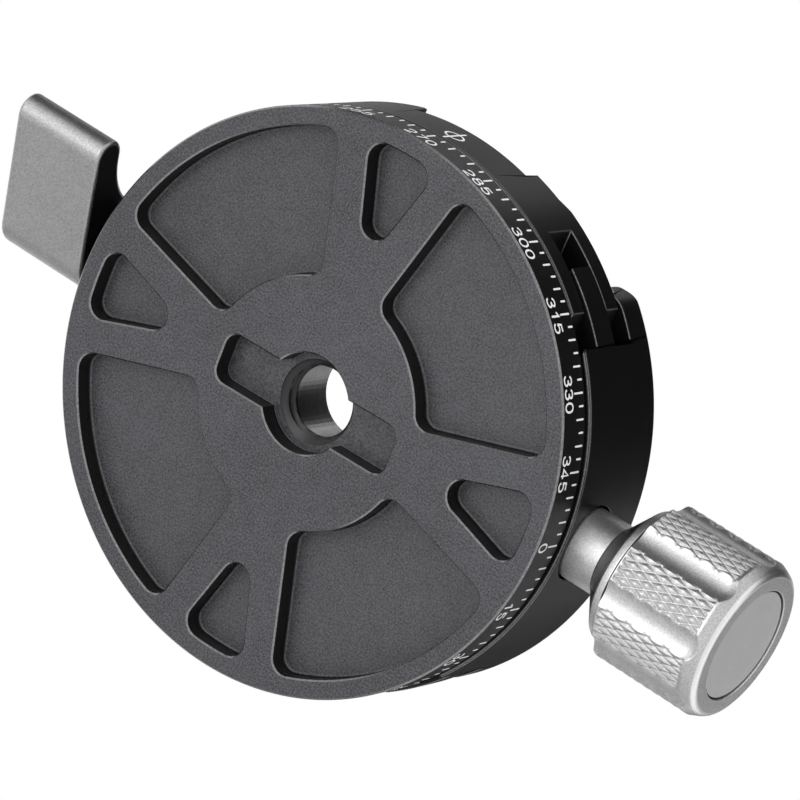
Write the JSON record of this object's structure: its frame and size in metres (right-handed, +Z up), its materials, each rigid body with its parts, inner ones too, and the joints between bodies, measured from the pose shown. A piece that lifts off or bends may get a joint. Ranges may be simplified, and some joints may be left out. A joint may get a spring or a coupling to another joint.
{
  "type": "panning clamp",
  "caption": "Round panning clamp for a dovetail camera plate, with an angle scale on its base, a silver screw knob that draws the jaw and a silver lever that locks the pan.",
  "frame": {"origin": "on the turning axis, at the foot of the base where the centre thread opens", "axes": "+Z up the turning axis, from the tripod side to the plate channel; +X along the clamp screw, towards the knob; -Y towards the index mark; the plate channel runs along Y"},
  "size_m": [0.1021, 0.065, 0.0195],
  "materials": {
    "base_black": "fine blasted black anodising",
    "body_black": "satin black anodising",
    "satin_silver": "satin clear anodising",
    "cap_grey": "satin anodising",
    "steel": "turned steel",
    "bronze": "plain bearing bronze",
    "nylon": "plain moulded nylon"
  },
  "bodies": {
    "base": {"base_disc": "base_black", "pivot_nut": "steel", "nut_lock_screw": "steel", "retaining_washer": "steel"},
    "clamp": {"clamp_body": "body_black", "thrust_washer": "nylon", "clamp_stud": "steel", "stud_cross_pin": "steel", "stud_end_screw": "steel", "guide_bush_front": "bronze", "guide_bush_rear": "bronze", "jaw_spring_front": "steel", "jaw_spring_rear": "steel", "lever_collar": "body_black"},
    "jaw": {"moving_jaw": "body_black", "guide_pin_front": "steel", "guide_pin_rear": "steel", "knob_washer": "nylon"},
    "knob": {"clamp_knob": "satin_silver", "knob_cap": "cap_grey"},
    "lever": {"pan_lever": "satin_silver", "lever_spindle": "steel", "lever_screw": "steel"},
    "brake": {"brake_shoe": "bronze"}
  },
  "joints": [
    {"name": "pan_turn", "type": "hinge", "parent": "base", "child": "clamp", "pos_m": [0, 0, 0], "axis": [0, 0, 1], "continuous": true},
    {"name": "jaw_slide", "type": "slide", "parent": "clamp", "child": "jaw", "axis": [1, 0, 0], "range_m": [-0.0026, 0.003], "deforming": ["jaw_spring_front", "jaw_spring_rear"]},
    {"name": "knob_turn", "type": "hinge", "parent": "jaw", "child": "knob", "pos_m": [0, 0, 0.01015], "axis": [1, 0, 0], "range_deg": [-936, 1080]},
    {"name": "lever_turn", "type": "hinge", "parent": "clamp", "child": "lever", "pos_m": [0, 0, 0.01015], "axis": [1, 0, 0], "range_deg": [-80, 0]},
    {"name": "brake_slide", "type": "slide", "parent": "clamp", "child": "brake", "axis": [1, 0, 0], "range_m": [-0.0001777, 0]}
  ],
  "couplings": [
    {"joint": "knob_turn", "follows": "jaw_slide", "rad_per_m": 6283.1},
    {"joint": "lever_turn", "follows": "brake_slide", "rad_per_m": 7853.9}
  ]
}
